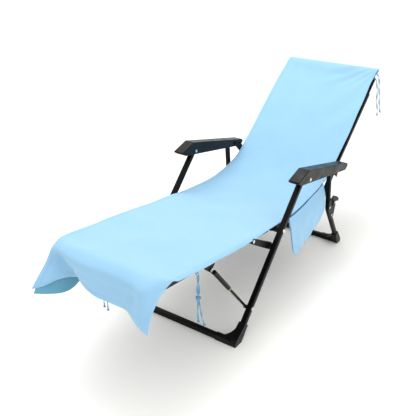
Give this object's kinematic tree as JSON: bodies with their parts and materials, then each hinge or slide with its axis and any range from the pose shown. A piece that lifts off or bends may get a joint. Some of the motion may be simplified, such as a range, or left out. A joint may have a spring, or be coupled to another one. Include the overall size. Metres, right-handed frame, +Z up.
{
  "type": "folding recliner lounger",
  "caption": "Folding reclining lounger with a leaning tubular frame, hinged armrests, leg rest struts and a fitted towel cover.",
  "frame": {"origin": "on the floor, under the middle of the front floor bar", "axes": "+X across the width towards the sitter's left, +Y towards the head end, +Z up"},
  "size_m": [0.6458, 2.0136, 0.8197],
  "materials": {
    "frame_coat": "gloss powder coat",
    "bracket_coat": "satin powder coat",
    "strut_coat": "satin",
    "rivet_steel": "bright zinc",
    "brass_bush": "satin",
    "black_plastic": "moulded, satin gloss",
    "lever_plastic": "moulded",
    "spacer_plastic": "moulded",
    "sling_mesh": "woven mesh",
    "towel_cloth": "terry cloth",
    "tie_string": "woven tape"
  },
  "bodies": {
    "front_legs": {"front_leg_left": "frame_coat", "front_leg_right": "frame_coat", "front_floor_bar": "frame_coat", "front_shoes": "black_plastic", "front_leg_caps": "black_plastic", "leg_spacers": "spacer_plastic", "seat_pivot_rivets": "rivet_steel", "armrest_pivot_rivets": "rivet_steel", "link_hub_rivets": "rivet_steel", "strut_anchor_rivets": "rivet_steel"},
    "seat": {"seat_rail_left": "frame_coat", "seat_rail_right": "frame_coat", "seat_cross_tube": "frame_coat", "back_hinge_plates": "bracket_coat", "back_hinge_pins": "rivet_steel", "seat_sling": "sling_mesh", "towel_seat": "towel_cloth", "pocket_flap_left": "towel_cloth", "pocket_flap_right": "towel_cloth"},
    "back": {"back_rail_left": "frame_coat", "back_rail_right": "frame_coat", "head_tube": "frame_coat", "armrest_stub_pins": "rivet_steel", "back_sling": "sling_mesh", "towel_back": "towel_cloth", "top_tie_left_a": "tie_string", "top_tie_left_b": "tie_string", "top_tie_right_a": "tie_string", "top_tie_right_b": "tie_string"},
    "leg_rest": {"leg_rest_rail_left": "frame_coat", "leg_rest_rail_right": "frame_coat", "leg_rest_end_bar": "frame_coat", "link_plates": "bracket_coat", "leg_rest_brackets": "bracket_coat", "leg_rest_rivets": "rivet_steel", "leg_rest_sling": "sling_mesh", "towel_leg_rest": "towel_cloth", "towel_front_drop": "towel_cloth", "mid_tie_left_a": "tie_string", "mid_tie_left_b": "tie_string", "mid_tie_right_a": "tie_string", "mid_tie_right_b": "tie_string"},
    "rear_legs": {"rear_leg_left": "frame_coat", "rear_leg_right": "frame_coat", "rear_floor_bar": "frame_coat", "rear_shoes": "black_plastic", "latch_brackets": "bracket_coat", "rear_leg_rivets": "rivet_steel"},
    "armrest_left": {"armrest_left": "black_plastic", "armrest_bracket_left": "bracket_coat"},
    "strut_sleeve_left": {"strut_sleeve_left": "strut_coat", "strut_bush_left": "brass_bush"},
    "strut_rod_left": {"strut_rod_left": "strut_coat"},
    "latch_lever_left": {"latch_lever_left": "lever_plastic"},
    "armrest_right": {"armrest_right": "black_plastic", "armrest_bracket_right": "bracket_coat"},
    "strut_sleeve_right": {"strut_sleeve_right": "strut_coat", "strut_bush_right": "brass_bush"},
    "strut_rod_right": {"strut_rod_right": "strut_coat"},
    "latch_lever_right": {"latch_lever_right": "lever_plastic"}
  },
  "joints": [
    {"name": "fold", "type": "hinge", "parent": "front_legs", "child": "seat", "pos_m": [0, 0.35823, 0.36228], "axis": [-1, 0, 0], "range_deg": [0, 85], "deforming": ["pocket_flap_left", "pocket_flap_right"]},
    {"name": "back_hinge", "type": "hinge", "parent": "seat", "child": "back", "pos_m": [0, 0.79335, 0.22013], "axis": [-1, 0, 0], "range_deg": [-85.5, 0.5], "deforming": ["towel_seat", "seat_sling"]},
    {"name": "leg_rest_tilt", "type": "hinge", "parent": "front_legs", "child": "leg_rest", "pos_m": [0, 0.30573, 0.30733], "axis": [1, 0, 0], "range_deg": [0, 22]},
    {"name": "rear_legs_swing", "type": "hinge", "parent": "armrest_left", "child": "rear_legs", "pos_m": [0, 0.827, 0.484], "axis": [-1, 0, 0], "range_deg": [-29.4, 0.5]},
    {"name": "armrest_left_pivot", "type": "hinge", "parent": "front_legs", "child": "armrest_left", "pos_m": [0.294, 0.52888, 0.54085], "axis": [-1, 0, 0], "range_deg": [-0.5, 85.5]},
    {"name": "strut_left_pivot", "type": "hinge", "parent": "leg_rest", "child": "strut_sleeve_left", "pos_m": [0.264, -0.1284, 0.4113], "axis": [1, 0, 0], "range_deg": [-0.3, 1.81]},
    {"name": "strut_left_slide", "type": "slide", "parent": "strut_sleeve_left", "child": "strut_rod_left", "axis": [0, -0.6356, 0.772], "range_m": [-0.001, 0.10405]},
    {"name": "latch_left", "type": "hinge", "parent": "rear_legs", "child": "latch_lever_left", "pos_m": [0.296, 0.894, 0.283], "axis": [1, 0, 0], "range_deg": [0, 22], "stiffness_Nm_per_rad": 0.05, "springref_deg": -5.73},
    {"name": "armrest_right_pivot", "type": "hinge", "parent": "front_legs", "child": "armrest_right", "pos_m": [-0.294, 0.52888, 0.54085], "axis": [-1, 0, 0], "range_deg": [-0.5, 85.5]},
    {"name": "strut_right_pivot", "type": "hinge", "parent": "leg_rest", "child": "strut_sleeve_right", "pos_m": [-0.264, -0.1284, 0.4113], "axis": [1, 0, 0], "range_deg": [-0.3, 1.81]},
    {"name": "strut_right_slide", "type": "slide", "parent": "strut_sleeve_right", "child": "strut_rod_right", "axis": [0, -0.6356, 0.772], "range_m": [-0.001, 0.10405]},
    {"name": "latch_right", "type": "hinge", "parent": "rear_legs", "child": "latch_lever_right", "pos_m": [-0.296, 0.894, 0.283], "axis": [1, 0, 0], "range_deg": [0, 22], "stiffness_Nm_per_rad": 0.05, "springref_deg": -5.73}
  ],
  "couplings": [
    {"joint": "back_hinge", "follows": "fold", "ratio": -1},
    {"joint": "rear_legs_swing", "follows": "fold", "ratio": -0.34},
    {"joint": "armrest_left_pivot", "follows": "fold", "ratio": 1},
    {"joint": "strut_left_pivot", "follows": "leg_rest_tilt", "ratio": 0.06853},
    {"joint": "strut_left_slide", "follows": "leg_rest_tilt", "m_per_rad": 0.26837},
    {"joint": "armrest_right_pivot", "follows": "fold", "ratio": 1},
    {"joint": "strut_right_pivot", "follows": "leg_rest_tilt", "ratio": 0.06853},
    {"joint": "strut_right_slide", "follows": "leg_rest_tilt", "m_per_rad": 0.26837}
  ]
}
